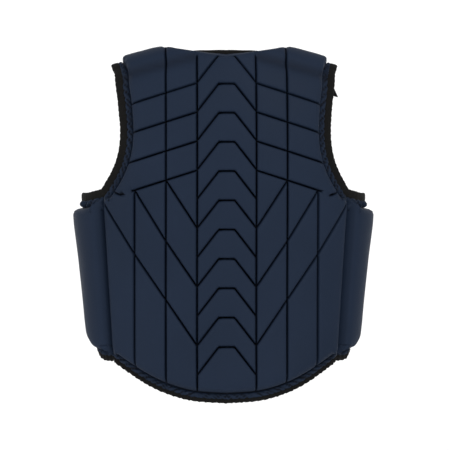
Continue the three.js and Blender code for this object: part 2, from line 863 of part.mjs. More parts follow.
function piece(name, geometry, material) {
  const made = new THREE.Mesh(geometry, material);
  made.name = name;
  vest.add(made);
}

// A piece for one side and its mirror image for the other
function pair(name, geometry, material, side) {
  const other = side === "right" ? "left" : "right";
  piece(`${name}_${side}`, geometry, material);
  piece(`${name}_${other}`, mirrorX(geometry), material);
}

const backPad = cutAll(pad(backOutline()), [...spineGrooves(), ...sideGrooves()]);
const frontPad = cutAll(pad(frontOutline()), frontGrooves());

piece("back_panel", bentGeometry(backPad, onBack), navy);
pair("front_panel", bentGeometry(frontPad, onFront), navy, "left");
pair("side_panel", bentGeometry(pad(sideOutline()), onSide), navy, "right");
pair("armhole_binding", armholeTape(), black, "right");
piece("neck_binding", neckTape(), black);
piece("hem_binding", hemTape(), black);
piece("shoulder_strap_right", shoulderStrap(strapSlant), black);
piece("shoulder_strap_left", mirrorX(shoulderStrap(0)), black);
piece("front_zip", bentGeometry(zip(), onFront), zipBlack);
piece("zip_slider", bentGeometry(zipSlider(), onFront), zipBlack);

export default vest;
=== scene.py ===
import math

import bmesh
import bpy
import numpy as np
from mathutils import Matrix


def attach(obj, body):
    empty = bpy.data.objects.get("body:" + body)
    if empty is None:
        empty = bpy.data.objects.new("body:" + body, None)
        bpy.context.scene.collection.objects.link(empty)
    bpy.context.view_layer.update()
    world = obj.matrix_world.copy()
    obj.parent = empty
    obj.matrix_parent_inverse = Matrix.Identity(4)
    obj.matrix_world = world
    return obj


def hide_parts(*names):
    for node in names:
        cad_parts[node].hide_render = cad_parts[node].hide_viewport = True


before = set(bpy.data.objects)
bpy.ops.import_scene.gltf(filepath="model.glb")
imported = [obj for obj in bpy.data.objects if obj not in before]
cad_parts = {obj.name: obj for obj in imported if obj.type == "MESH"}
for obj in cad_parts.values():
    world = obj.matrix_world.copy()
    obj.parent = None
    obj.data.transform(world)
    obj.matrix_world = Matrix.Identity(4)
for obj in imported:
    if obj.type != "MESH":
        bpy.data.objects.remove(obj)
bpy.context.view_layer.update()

# A rider's body protector seen from behind. Sizes are in millimetres, up to the last step of
# each mesh. x runs to the wearer's right, y ahead and z up, from midway between the shoulders.

MM = 0.001

# Sizes of the trunk
CHEST_WIDTH = 468
BACK_DEPTH = 118
FRONT_DEPTH = 114
HEM_DROP = 507
SIDE_DROP = 444
SIDE_FRONT_DROP = 408
ARMHOLE_DROP = 198
FRONT_NECK_DROP = 78
FRONT_HEM_DROP = 424
SECTION_POWER = 2.3

# Sizes of the shoulders
SHOULDER_HALF = 167
FRONT_SHOULDER_HALF = 155
CREST_SHORT = 6
NECK_HALF = 87
NAPE_RISE = 19
FOLD_RISE = 20
SHOULDER_SLOPE = 0.27
NAPE_ROUND = 20
SHOULDER_RADIUS = 41
FLAP_TILT = math.radians(135)
JOINT_TILT = math.radians(155)

# Walls and edges
FOAM = 22
WEB = 9
EDGE_WALL = 5
ARM_MARGIN = 12
CREST_MARGIN = 7
HEM_MARGIN = 10
NECK_MARGIN = 8
SEAM_MARGIN = 7
PANEL_GAP = 1.6
SEAT_GAP = 0.5
NECK_GAP = 3
STRAP_GAP = 1.3
CREASE_DEPTH = 5
CREASE_REACH = 9

# Block pattern
SPINE_HALF = 44.9
COLUMN_WIDTH = 47.3
ROW_PITCH = 44.1
ROW_DROP = 30
ROW_SLOPE = 0.315
ROW_COUNT = 4
RIDGE_RISE = 13
RIDGE_HALF = 12
RIDGE_FALL = 42
RIDGE_COUNT = 11
RAY_SLOPE = 1.45
RAY_TOP = 209
FRONT_PITCH = 84
FRONT_ROW_COUNT = 4
FRONT_ROW_RISE = 9

# Closure, straps and tape
ZIP_HALF = 9
STRAP_WIDTH = 54
STRAP_WALL = 2.5
STRAP_ON_FLAP = 12
STRAP_ON_FRONT = 36
STRAP_SLANT = 27
ARMHOLE_TAPE = 11
NECK_TAPE = 5.5
HEM_TAPE = 7
TAPE_LAP = 4  # how far a tape laps over the edge that it binds
TAPE_FULL = 6.6  # its thickness there

# Seams, and steps of the edges beside them
SEAM_TOP = 192
SEAM_FOOT = 177
SIDE_SPAN = 160
SIDE_DIP = 9
SEAM_STEP = 3
HEM_STEP = 4
CROWN_STEP = 3
NECK_STEP = 3
FRONT_NECK_STEP = 4

# Shape of the trunk down its height, in shares of the drop, the half width and the depth
TRUNK_LEVEL = (-1.02, -0.8, -0.6, -0.42, -0.22, -0.06, 0.04, 0.14)
TRUNK_HALF = (0.88, 0.913, 0.958, 1.0, 1.0, 1.0, 1.0, 1.0)
TRUNK_BACK = (1.0, 0.93, 0.94, 0.99, 1.0, 0.93, 0.82, 0.68)

# Swell of the front below the shoulder joint
FRONT_DOWN = (-0.1, 0, 0.25, 0.5, 0.75, 1, 1.3, 1.75, 2.1)
FRONT_SWELL = (-0.11, 0, 0.285, 0.58, 0.84, 0.97, 1, 0.97, 0.95)


def mix(a, b, t):
    return a + (b - a) * t


def ease(t):
    t = np.clip(t, 0, 1)
    return t * t * (3 - 2 * t)


def read(keys, values, at):
    """Reads a table at a place between its rows, smoothly."""
    keys = np.asarray(keys, float)
    values = np.asarray(values, float)
    before = np.maximum(np.arange(len(keys)) - 1, 0)
    after = np.minimum(np.arange(len(keys)) + 1, len(keys) - 1)
    slope = (values[after] - values[before]) / (keys[after] - keys[before])
    place = np.clip(at, keys[0], keys[-1])
    i = np.clip(np.searchsorted(keys, place) - 1, 0, len(keys) - 2)
    span = keys[i + 1] - keys[i]
    t = (place - keys[i]) / span
    start = (2 * t**3 - 3 * t**2 + 1) * values[i] + (t**3 - 2 * t**2 + t) * span * slope[i]
    end = (3 * t**2 - 2 * t**3) * values[i + 1] + (t**3 - t**2) * span * slope[i + 1]
    return start + end


# The bent faces of the vest

def shoulder_fall(x):
    return SHOULDER_SLOPE * (np.hypot(x, NAPE_ROUND) - NAPE_ROUND)


def fold_z(x):
    return FOLD_RISE - shoulder_fall(x)


def level_of(x, z):
    return z + shoulder_fall(x) * ease(1 + z / ARMHOLE_DROP)


def half_at(level):
    return CHEST_WIDTH / 2 * read(TRUNK_LEVEL, TRUNK_HALF, level / HEM_DROP)


def back_at(level):
    return BACK_DEPTH * read(TRUNK_LEVEL, TRUNK_BACK, level / HEM_DROP)


def crown_at(x, level):
    share = np.minimum(1, np.abs(x) / half_at(level))
    return (1 - share**SECTION_POWER) ** (1 / SECTION_POWER)


def back_y(x, z):
    level = level_of(x, z)
    return -back_at(level) * crown_at(x, level)


def fold_tilt(x):
    return np.arctan(back_y(x, fold_z(x)) - back_y(x, fold_z(x) - 1))


def arc_to(x, tilt):
    return SHOULDER_RADIUS * (tilt - fold_tilt(x))


def rise_to(x, tilt):
    return SHOULDER_RADIUS * (np.sin(tilt) - np.sin(fold_tilt(x)))


def lead_to(x, tilt):
    return SHOULDER_RADIUS * (np.cos(fold_tilt(x)) - np.cos(tilt))


def joint_z(x):
    return fold_z(x) + rise_to(x, JOINT_TILT)


def joint_y(x):
    return back_y(x, fold_z(x)) + lead_to(x, JOINT_TILT)


def down_from(level):
    return (joint_z(0) - level) / (joint_z(0) + ARMHOLE_DROP)


def front_at(level):
    return mix(joint_y(0), FRONT_DEPTH, read(FRONT_DOWN, FRONT_SWELL, down_from(level)))


def back_face(x, v):
    fold = fold_z(x)
    tilt = fold_tilt(x) + np.maximum(0, v - fold) / SHOULDER_RADIUS
    y = back_y(x, np.minimum(v, fold)) + lead_to(x, tilt)
    z = np.minimum(v, fold) + rise_to(x, tilt)
    return np.stack([x, y, z], axis=-1)


def front_face(a, v):
    level = level_of(a, v)
    depth = front_at(level)
    shoulder = depth + joint_y(a) - joint_y(0)
    y = mix(shoulder, depth * crown_at(a, level), ease(down_from(level)))
    return np.stack([-a, y, v], axis=-1)


def seam_x(v):
    return mix(SEAM_TOP, SEAM_FOOT, (-v - ARMHOLE_DROP) / (SIDE_DROP - ARMHOLE_DROP))


def side_face(u, v):
    crown = crown_at(seam_x(v), v)
    y = mix(-back_at(v) * crown, front_at(v) * crown, u / SIDE_SPAN)
    depth = np.where(y < 0, back_at(v), front_at(v))
    x = half_at(v) * (1 - np.abs(y / depth) ** SECTION_POWER) ** (1 / SECTION_POWER)
    return np.stack([x, y, v + 0 * x], axis=-1)


def bend(face, x, v, height):
    """Puts flat points on a bent face. height is counted off the inner face of the padding."""
    x, v, height = (np.asarray(part, float) for part in (x, v, height))
    along = face(x + 0.5, v) - face(x - 0.5, v)
    up = face(x, v + 0.5) - face(x, v - 0.5)
    out = np.cross(along, up)
    out /= np.linalg.norm(out, axis=-1, keepdims=True)
    return face(x, v) + out * (height - FOAM)[..., None]


def shoulder_crease(x, v):
    outward = ease((np.abs(x) - SPINE_HALF) / CREASE_REACH + 0.5)
    return CREASE_DEPTH * outward * np.exp(-(((v - fold_z(x)) / CREASE_REACH) ** 2))


# Outlines: rows of x, v and kind of edge

ARM, CREST, HEM, NECK, SEAM = range(5)
MARGINS = {ARM: ARM_MARGIN, CREST: CREST_MARGIN, HEM: HEM_MARGIN, NECK: NECK_MARGIN,
           SEAM: SEAM_MARGIN}


def smooth(points, kind, steps):
    """A smooth run through points, as rows of x, v and kind."""
    p = np.array(points, float)
    n = len(p)
    rows = []
    for k in range(steps + 1):
        at = k / steps * (n - 1)
        i = min(int(at), n - 2)
        t = at - i
        a, b, c, d = (p[min(max(j, 0), n - 1)] for j in (i - 1, i, i + 1, i + 2))
        v0 = (c - a) / 2
        v1 = (d - b) / 2
        q = (2 * b - 2 * c + v0 + v1) * t**3 + (3 * c - 3 * b - 2 * v0 - v1) * t**2 + v0 * t + b
        rows.append((q[0], q[1], kind))
    return rows


ARMHOLE_OUT = (0.982, 0.955, 0.94, 0.937, 0.949, 0.982, 1.036, 1.1)
ARMHOLE_DOWN = (0.1, 0.28, 0.43, 0.54, 0.65, 0.76, 0.86, 0.945)
HEM_OUT = (0.9, 0.72, 0.54, 0.3, 0)
HEM_DOWN = (0.18, 0.5, 0.74, 0.933, 1)
NECK_OUT = (0, 0.3, 0.52, 0.71, 0.86)
NECK_WAY = (0, 0.12, 0.29, 0.43, 0.62)
FRONT_NECK_OUT = (0.25, 0.52, 0.78, 0.94, 1)
FRONT_NECK_DOWN = (0.99, 0.91, 0.72, 0.45, 0.2)
SIDE_TOP = (0.22, 0.5, 0.78)
SIDE_FOOT = (0.75, 0.5, 0.22)
SIDE_FOOT_DOWN = (0, 0.42, 0.96)


def crest_end(x):
    return fold_z(x) + arc_to(x, math.pi / 2)


def flap_end(x):
    return fold_z(x) + arc_to(x, FLAP_TILT)


def armhole_edge(top, half, first=0):
    rows = [(out * half, -down * ARMHOLE_DROP)
            for out, down in zip(ARMHOLE_OUT[first:], ARMHOLE_DOWN[first:])]
    return [top, *rows, (SEAM_TOP - PANEL_GAP / 2, -ARMHOLE_DROP)]


CREST_FULL = 4  # how far the tape is pulled out where it crosses the shoulder
FLAP_TUCK = 8  # how far it is drawn in on the flap, out of sight


def back_edges(fine=1):
    crest = crest_end(NECK_HALF)
    neck = [(out * NECK_HALF, mix(NAPE_RISE, crest, way)) for out, way in zip(NECK_OUT, NECK_WAY)]
    neck += [(NECK_HALF, crest), (NECK_HALF + NECK_STEP, flap_end(NECK_HALF))]
    crest_out = SHOULDER_HALF - CREST_SHORT + CREST_FULL
    flap_out = SHOULDER_HALF - CREST_SHORT - FLAP_TUCK
    arm = armhole_edge((crest_out, crest_end(crest_out)), SHOULDER_HALF)
    arm = [(flap_out, flap_end(flap_out)), *arm]
    drop = SIDE_DROP + HEM_STEP
    hem = [(SEAM_FOOT - PANEL_GAP / 2, -drop)]
    hem += [(out * SEAM_FOOT, -mix(drop, HEM_DROP, down)) for out, down in zip(HEM_OUT, HEM_DOWN)]
    return (smooth(neck, NECK, 12 * fine), smooth(arm, ARM, 18 * fine), smooth(hem, HEM, 10 * fine))


def front_edges(fine=1):
    neck_end = NECK_HALF + FRONT_NECK_STEP
    top = (neck_end, joint_z(neck_end))
    neck = [(ZIP_HALF, -FRONT_NECK_DROP)]
    neck += [(out * NECK_HALF, mix(top[1], -FRONT_NECK_DROP, down))
             for out, down in zip(FRONT_NECK_OUT, FRONT_NECK_DOWN)]
    flap_out = FRONT_SHOULDER_HALF - CROWN_STEP
    arm = armhole_edge((flap_out, joint_z(flap_out)), FRONT_SHOULDER_HALF, 1)
    hem = [(seam_x(-SIDE_FRONT_DROP) - PANEL_GAP / 2, -SIDE_FRONT_DROP),
           (SEAM_FOOT * 0.6, -mix(SIDE_FRONT_DROP, FRONT_HEM_DROP, 0.75)),
           (ZIP_HALF, -FRONT_HEM_DROP)]
    return (smooth([*neck, top], NECK, 10 * fine), smooth(arm, ARM, 14 * fine),
            smooth(hem, HEM, 8 * fine))


def side_edges(fine=1):
    edge = PANEL_GAP / 2
    top_end = -ARMHOLE_DROP - SEAM_STEP
    top = [(edge, top_end), *[(SIDE_SPAN * share, -ARMHOLE_DROP - SIDE_DIP) for share in SIDE_TOP],
           (SIDE_SPAN - edge, top_end)]
    foot = [(SIDE_SPAN - edge, -SIDE_FRONT_DROP),
            *[(SIDE_SPAN * share, -mix(SIDE_FRONT_DROP, SIDE_DROP, down))
              for share, down in zip(SIDE_FOOT, SIDE_FOOT_DOWN)], (edge, -SIDE_DROP)]
    return smooth(top, ARM, 10 * fine), smooth(foot, HEM, 8 * fine)


def straight(start, end, kind, pitch):
    """The points between two ends, without the ends."""
    count = max(1, round(math.dist(start[:2], end[:2]) / pitch))
    return [(mix(start[0], end[0], i / count), mix(start[1], end[1], i / count), kind)
            for i in range(1, count)]


def mirrored(rows):
    return [(-x, v, kind) for x, v, kind in reversed(rows)]


EDGE_PITCH = 3
SEAM_LAP = 3  # how far the cloth of a panel is drawn over the gap to its side panel
CREST_DEPTH = 22  # how far down from the shoulder the armhole rim stays narrow


def side_seam(top, foot):
    """The edge of a panel along its side panel."""
    return [(x + SEAM_LAP, v, kind) for x, v, kind in straight(top, foot, SEAM, EDGE_PITCH)]


def back_outline():
    neck, arm, hem = back_edges(fine=8)
    crest = crest_end(SHOULDER_HALF) - CREST_DEPTH
    arm = [(x, v, CREST if v > crest else kind) for x, v, kind in arm]
    half = [*neck, *straight(neck[-1], arm[0], NECK, EDGE_PITCH), *arm,
            *side_seam(arm[-1], hem[0]), *hem]
    return [*half, *mirrored(half)[1:-1]]


def front_outline():
    neck, arm, hem = front_edges(fine=8)
    return [*neck, *straight(neck[-1], arm[0], NECK, EDGE_PITCH), *arm,
            *side_seam(arm[-1], hem[0]), *hem,
            *straight(hem[-1], neck[0], SEAM, EDGE_PITCH)]


def side_outline():
    top, foot = side_edges(fine=12)
    return [*top, *straight(top[-1], foot[0], SEAM, EDGE_PITCH), *foot,
            *straight(foot[-1], top[0], SEAM, EDGE_PITCH)]


# Grooves: straight pieces, each as two ends

def column(n):
    return SPINE_HALF + n * COLUMN_WIDTH


def row_z(row, x):
    return -ROW_DROP - row * ROW_PITCH - ROW_SLOPE * (x - SPINE_HALF)


def ridge_z(n):
    return RIDGE_RISE - n * ROW_PITCH


def ridge_end(n):
    return ridge_z(n) - RIDGE_FALL


def yoke_z(x):
    return row_z(ROW_COUNT - 1, x)


def pieces(points):
    return list(zip(points[:-1], points[1:]))


YOKE_TURN = 5  # how far inside the shoulder's width the yoke groove turns up
YOKE_TAIL = 14  # how far it runs on outward
YOKE_LIFT = 6


def back_grooves():
    lowest = RIDGE_COUNT - 2
    out = SHOULDER_HALF
    lines = [[(column(0), row_z(row, column(0))), (out, row_z(row, out))]
             for row in range(ROW_COUNT - 1)]
    turn = out - YOKE_TURN
    lines.append([(column(0), yoke_z(column(0))), (turn, yoke_z(turn)),
                  (turn + YOKE_TAIL, yoke_z(turn) + YOKE_LIFT)])
    lines.append([(column(0), -HEM_DROP), (column(0), fold_z(column(0)))])
    lines.append([(column(1), -HEM_DROP), (column(1), flap_end(column(1)))])
    lines.append([(column(2), -HEM_DROP), (column(2), yoke_z(column(2)))])

    def climb(n, columns):
        return ridge_end(n) + RAY_SLOPE * columns * COLUMN_WIDTH

    lines.append([(column(0), ridge_end(lowest - 4)), (column(1), yoke_z(column(1)))])
    lines.append([(column(0), ridge_end(lowest - 2)), (column(1), climb(lowest - 2, 1)),
                  (column(2), yoke_z(column(2)))])
    lines.append([(column(0), ridge_end(lowest)), (column(1), climb(lowest, 1)),
                  (column(2), climb(lowest, 2)), (SEAM_TOP - SEAM_MARGIN / 2, -RAY_TOP)])
    lines += [[(-x, v) for x, v in line] for line in lines]
    for n in range(RIDGE_COUNT):
        lines.append([(-SPINE_HALF, ridge_end(n)), (-RIDGE_HALF, ridge_z(n)),
                      (RIDGE_HALF, ridge_z(n)), (SPINE_HALF, ridge_end(n))])
    return [piece for line in lines for piece in pieces(line)]


def front_grooves():
    lines = []
    for n in (1, 2):
        a = ZIP_HALF + n * (SEAM_FOOT - ZIP_HALF) / 3
        lines.append([(a, -FRONT_HEM_DROP), (a, joint_z(a))])
    for row in range(FRONT_ROW_COUNT):
        v = -FRONT_NECK_DROP - (row + 0.5) * FRONT_PITCH
        lines.append([(ZIP_HALF, v), (SEAM_TOP, v + FRONT_ROW_RISE * SEAM_TOP / CHEST_WIDTH * 2)])
    return [piece for line in lines for piece in pieces(line)]


# Padded panels: a flat pattern is cut along its grooves, swollen and bent

GROOVE_STEPS = (0.7, 1.4, 2.6, 4.6)  # cuts beside a groove's middle
RIM_STEPS = (0.2, 0.45, 0.7, 0.88, 1.0, 1.12, 1.35, 1.8)  # shares of the margin
GRID_PITCH = 7
SHARPEST_LEAN = 0.62  # keeps a ring from reaching too far in at a corner
GROOVE_SLACK = 5
UPRIGHT_SLACK = 1e-6
CUT_SLACK = 1e-3


def settled(values, rounds=12):
    """Values round an outline, blended with their neighbours."""
    for _ in range(rounds):
        values = (np.roll(values, 1) + 2 * values + np.roll(values, -1)) / 4
    return values


def inset_rings(outline, shares):
    """Rings inside an outline, each at a share of the margin of its edge."""
    p = np.array([(x, v) for x, v, _ in outline])
    margin = settled(np.array([MARGINS[kind] for *_, kind in outline], float))
    before = p - np.roll(p, 1, axis=0)
    after = np.roll(p, -1, axis=0) - p
    area = np.sum(p[:, 0] * np.roll(p[:, 1], -1) - np.roll(p[:, 0], -1) * p[:, 1])
    before /= np.linalg.norm(before, axis=1, keepdims=True)
    after /= np.linalg.norm(after, axis=1, keepdims=True)
    way = before + after
    way /= np.linalg.norm(way, axis=1, keepdims=True)
    inward = np.stack([-way[:, 1], way[:, 0]], axis=1) * np.sign(area)
    lean = np.maximum(SHARPEST_LEAN, np.sum(way * before, axis=1))
    return [p + inward * (margin * share / lean)[:, None] for share in shares]


def cut(bm, faces, start, end, offset):
    """Cuts faces along a line beside the one from start to end."""
    way = np.array(end, float) - np.array(start, float)
    way /= np.linalg.norm(way)
    side = np.array((-way[1], way[0]))
    at = np.array(start) + side * offset
    geom = set(faces)
    for face in faces:
        geom.update(face.edges)
        geom.update(face.verts)
    bmesh.ops.bisect_plane(bm, geom=list(geom), dist=CUT_SLACK,
                           plane_co=(at[0], at[1], 0), plane_no=(side[0], side[1], 0))


def faces_near(bm, start, end, rim, slack=GROOVE_SLACK):
    """The faces of the inner field that lie along a groove."""
    low_x, high_x = sorted((start[0], end[0]))
    low_v, high_v = sorted((start[1], end[1]))
    near = []
    for face in bm.faces:
        if face in rim:
            continue
        spot = face.calc_center_bounds()
        reach_x = max(abs(corner.co.x - spot.x) for corner in face.verts)
        reach_v = max(abs(corner.co.y - spot.y) for corner in face.verts)
        if (low_x - slack < spot.x + reach_x and spot.x - reach_x < high_x + slack
                and low_v - slack < spot.y + reach_v and spot.y - reach_v < high_v + slack):
            near.append(face)
    return near


def field_faces(bm, rim, low=-math.inf, high=math.inf):
    """The faces of the inner field, or those between two upright lines."""
    return [face for face in bm.faces
            if face not in rim and low < face.calc_center_median().x < high]


def is_upright(groove):
    start, end = groove
    return abs(start[0] - end[0]) < UPRIGHT_SLACK


def flat_panel(outline, grooves):
    """A flat mesh whose edges follow the outline, the rim and the grooves."""
    bm = bmesh.new()
    rings = inset_rings(outline, (0, *RIM_STEPS))
    loops = []
    for ring in rings:
        verts = [bm.verts.new((x, v, 0)) for x, v in ring]
        loops.append([bm.edges.new((verts[i - 1], verts[i])) for i in range(len(verts))])
    rim = set()
    for share, outer, inner in zip(RIM_STEPS, loops[:-1], loops[1:]):
        made = bmesh.ops.bridge_loops(bm, edges=[*outer, *inner])["faces"]
        if share <= 1:
            rim.update(made)
    middle = bmesh.ops.edgeloop_fill(bm, edges=loops[-1])["faces"]
    if not middle:
        raise ValueError("the middle of a panel was not filled")
    uprights = sorted({groove[0][0] for groove in grooves if is_upright(groove)})
    for x in uprights:
        for step in GROOVE_STEPS:
            for side in (-step, step):
                cut(bm, field_faces(bm, rim), (x, 0), (x, 1), side)
    if uprights and RIDGE_HALF < max(uprights):
        for x in (-RIDGE_HALF, RIDGE_HALF):
            cut(bm, field_faces(bm, rim, -SPINE_HALF, SPINE_HALF), (x, 0), (x, 1), 0)
    for start, end in grooves:
        if is_upright((start, end)):
            continue
        low, high = sorted((start[0], end[0]))
        for step in GROOVE_STEPS:
            for side in (-step, step):
                faces = [face for face in faces_near(bm, start, end, rim)
                         if low < face.calc_center_median().x < high]
                if faces:
                    cut(bm, faces, start, end, side)
    xs = [v.co.x for v in bm.verts]
    vs = [v.co.y for v in bm.verts]
    for at in np.arange(min(xs) + GRID_PITCH, max(xs), GRID_PITCH):
        cut(bm, field_faces(bm, rim), (at, 0), (at, 1), 0)
    for at in np.arange(min(vs) + GRID_PITCH, max(vs), GRID_PITCH):
        cut(bm, field_faces(bm, rim), (0, at), (1, at), 0)
    bmesh.ops.triangulate(bm, faces=bm.faces[:])
    return bm, rings


def distance_to(points, starts, ends):
    """Distance of each point to the nearest of many straight pieces, and how far along it is."""
    best = np.full(len(points), np.inf)
    along = np.zeros(len(points))
    run = 0.0
    for start, end in zip(starts, ends):
        way = end - start
        length = np.linalg.norm(way)
        t = np.clip((points - start) @ way / length**2, 0, 1)
        far = np.linalg.norm(points - start - t[:, None] * way, axis=1)
        nearer = far < best
        best = np.where(nearer, far, best)
        along = np.where(nearer, run + t * length, along)
        run += length
    return best, along


def ripple(s, seed):
    """An uneven wave along an edge, from -1 to 1."""
    return (0.55 * np.sin(s * 0.71 + seed + 1.4 * np.sin(s * 0.083 + seed))
            + 0.3 * np.sin(s * 1.27 + 2.1 * seed) + 0.15 * np.sin(s * 0.31 + 0.7 * seed))


# Height of a block beside a groove, and of an edge inside its outline, as shares
BLOCK_FAR = (0, 0.7, 1.4, 2.6, 4.6, 9, 18)
BLOCK_RISE = (0.0, 0.05, 0.8, 0.93, 0.97, 0.99, 1.0)
GATHERED_SHARE = (0, 0.2, 0.45, 0.7, 0.88, 1.0, 1.12, 1.35, 1.8, 3.0)
GATHERED_RISE = (0.2, 0.3, 0.36, 0.34, 0.27, 0.2, 0.6, 0.86, 0.97, 1.0)
PLAIN_SHARE = (0, 0.45, 1.0, 1.35, 1.8, 3.0)
PLAIN_RISE = (0.2, 0.55, 0.82, 0.92, 0.97, 1.0)
GATHER_HEIGHT = 3.6
# painted shade in the hollows between the folds of a gathered rim
GATHER_SHADE = 1.0
GATHER_DEPTH = 2.0  # how soon the painted shade in the hollow between two folds is at its darkest
GATHER_PITCH = 0.8  # how often the folds follow each other, as a share of the first wave
# painted shade along the crease over the shoulder
CREASE_SHADE = 0.4
GATHER_LEAN = 15  # how far a fold runs along the edge while it crosses the rim
CREST_LIFT = 8  # how much fuller the armhole rim is where it crosses the shoulder
LIFT_REACH = 26
LIFT_START = 50  # how far outward from the neck it comes up
LIFT_SHARE = 3  # how far inward it goes, as a share of the margin
RIM_GROOVE = 0.09  # half width of the painted shade line inside a gathered rim, as a share of the margin
GROOVE_START = 0.12  # how soon a groove begins inside the rim, as a share of the margin
GROOVE_DARK = 0.45  # half width of the painted shade on a groove's floor
GROOVE_FADE = 1.2


def crest_lift(x, v):
    """Extra height of the armhole rim over the shoulder."""
    near = 1 - ease(np.abs(v - crest_end(SHOULDER_HALF)) / LIFT_REACH)
    return CREST_LIFT * near * ease((np.abs(x) - NECK_HALF) / LIFT_START)


def swell(flat, outline, rings, grooves, seed, lift=None):
    """Heights of the outer face over the flat pattern, and how much painted shade each point gets.
    """
    edge = rings[0]
    edge_far, s = distance_to(flat, edge, np.roll(edge, -1, axis=0))
    kinds = np.array([kind for *_, kind in outline])
    length = np.linalg.norm(np.roll(edge, -1, axis=0) - edge, axis=1)
    at = np.clip(np.searchsorted(np.cumsum(length), s), 0, len(kinds) - 1)
    margin = settled(np.array([MARGINS[kind] for kind in kinds], float))
    share = edge_far / margin[at]
    rim = settled(np.isin(kinds, (ARM, CREST, HEM)).astype(float))[at]
    rise = mix(np.interp(share, PLAIN_SHARE, PLAIN_RISE),
               np.interp(share, GATHERED_SHARE, GATHERED_RISE), rim)
    height = FOAM * rise
    fold = np.sin(np.clip(share, 0, 1) * math.pi) * rim
    lean = -GATHER_LEAN * np.sign(flat[:, 0])
    gather = ripple(GATHER_PITCH * (s + lean * share), seed)
    height += GATHER_HEIGHT * fold * gather
    # painted shade along the seam line inside a gathered rim
    shade_amount = rim * np.exp(-((share - 1) / RIM_GROOVE) ** 2)
    # painted shade in the hollows between the gathered folds
    shade_amount = np.maximum(shade_amount, GATHER_SHADE * fold * ease(-GATHER_DEPTH * gather))
    if lift is not None:
        raised = lift(flat[:, 0], flat[:, 1]) * (share < LIFT_SHARE)
        height = raised + height * (FOAM - raised) / FOAM
    if grooves:
        starts = np.array([start for start, _ in grooves], float)
        ends = np.array([end for _, end in grooves], float)
        groove_far, _ = distance_to(flat, starts, ends)
        inside = ease((share - 1.0) / GROOVE_START)
        drop = 1 - np.interp(groove_far, BLOCK_FAR, BLOCK_RISE)
        height -= drop * inside * np.maximum(0, height - WEB)
        # painted shade on the floor of each groove
        floor = 1 - ease((groove_far - GROOVE_DARK) / GROOVE_FADE)
        shade_amount = np.maximum(shade_amount, inside * floor)
    return height, shade_amount


def finish_piece(name, bm, replaced, materials):
    """Turns a bmesh in millimetres into a piece of the vest."""
    bmesh.ops.scale(bm, vec=(MM, MM, MM), verts=bm.verts)
    mesh = bpy.data.meshes.new(name)
    bm.to_mesh(mesh)
    bm.free()
    piece = bpy.data.objects.new(name, mesh)
    bpy.context.scene.collection.objects.link(piece)
    for material in materials:
        mesh.materials.append(material)
    for polygon in mesh.polygons:
        polygon.use_smooth = True
    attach(piece, "root")
    if replaced:
        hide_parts(*replaced)
    return piece


def padded_panel(name, node, outline, grooves, face, seed, crease=None, dents=None, lift=None):
    """A padded panel with a navy cover outside and a black lining inside."""
    bm, rings = flat_panel(outline, grooves)
    cloth = bm.loops.layers.uv.new("cloth")
    # how much painted shade each point of the navy cover gets
    painted_shade = bm.verts.layers.float.new("painted_shade")
    front = bm.faces[:]
    made = bmesh.ops.extrude_face_region(bm, geom=front, use_keep_orig=True)["geom"]
    outer = [item for item in made if isinstance(item, bmesh.types.BMVert)]
    outer_faces = {item for item in made if isinstance(item, bmesh.types.BMFace)}
    chosen = set(outer)
    inner = [vert for vert in bm.verts if vert not in chosen]
    flat = np.array([(vert.co.x, vert.co.y) for vert in outer])
    height, shade_amount = swell(flat, outline, rings, grooves, seed, lift)
    if crease is not None:
        valley = crease(flat[:, 0], flat[:, 1])
        height -= valley * np.clip(height / FOAM, 0, 1)
        # painted shade in the shoulder crease
        shade_amount = np.maximum(shade_amount, CREASE_SHADE * valley / CREASE_DEPTH)
    if dents is not None:
        height += dents(flat[:, 0], flat[:, 1]) * np.clip(height / FOAM, 0, 1)
    for element in bm.faces:
        for loop in element.loops:
            loop[cloth].uv = (loop.vert.co.x, loop.vert.co.y)
        element.material_index = 0 if element in outer_faces else 1
    placed = bend(face, flat[:, 0], flat[:, 1], height)
    for vert, spot, amount in zip(outer, placed, shade_amount):
        vert.co = spot
        vert[painted_shade] = float(amount)
    flat = np.array([(vert.co.x, vert.co.y) for vert in inner])
    for vert, spot in zip(inner, bend(face, flat[:, 0], flat[:, 1], np.zeros(len(flat)))):
        vert.co = spot
    bmesh.ops.recalc_face_normals(bm, faces=bm.faces[:])
    return finish_piece(name, bm, [node], [COVER, LINING])


# Tape and straps: a section drawn along stations


def stations(edge, face, turn, width, gap=SEAT_GAP, lift=None):
    """Centres and two directions of a tape that laps over an edge."""
    p = np.array([(x, v) for x, v, *_ in edge])
    way = np.gradient(p, axis=0)
    way /= np.linalg.norm(way, axis=1, keepdims=True)
    height = EDGE_WALL / 2 + (lift(p[:, 0], p[:, 1]) if lift else np.zeros(len(p)))

    def off(distance):
        return bend(face, p[:, 0] + way[:, 1] * distance * turn,
                    p[:, 1] - way[:, 0] * distance * turn, height)

    reach = gap + (width - TAPE_LAP) / 2
    across = off(reach + 1) - off(reach - 1)
    across /= np.linalg.norm(across, axis=1, keepdims=True)
    along = (bend(face, p[:, 0] + way[:, 0], p[:, 1] + way[:, 1], height)
             - bend(face, p[:, 0] - way[:, 0], p[:, 1] - way[:, 1], height))
    out = np.cross(across, along)
    out /= np.linalg.norm(out, axis=1, keepdims=True)
    return off(reach), across, out


def joined(parts):
    return tuple(np.concatenate([part[k] for part in parts]) for k in range(3))


def mirrored_run(run):
    """The mirror image of stations, in the other order."""
    turn = np.array((-1, 1, 1))
    return tuple((rows * turn)[::-1] for rows in run)


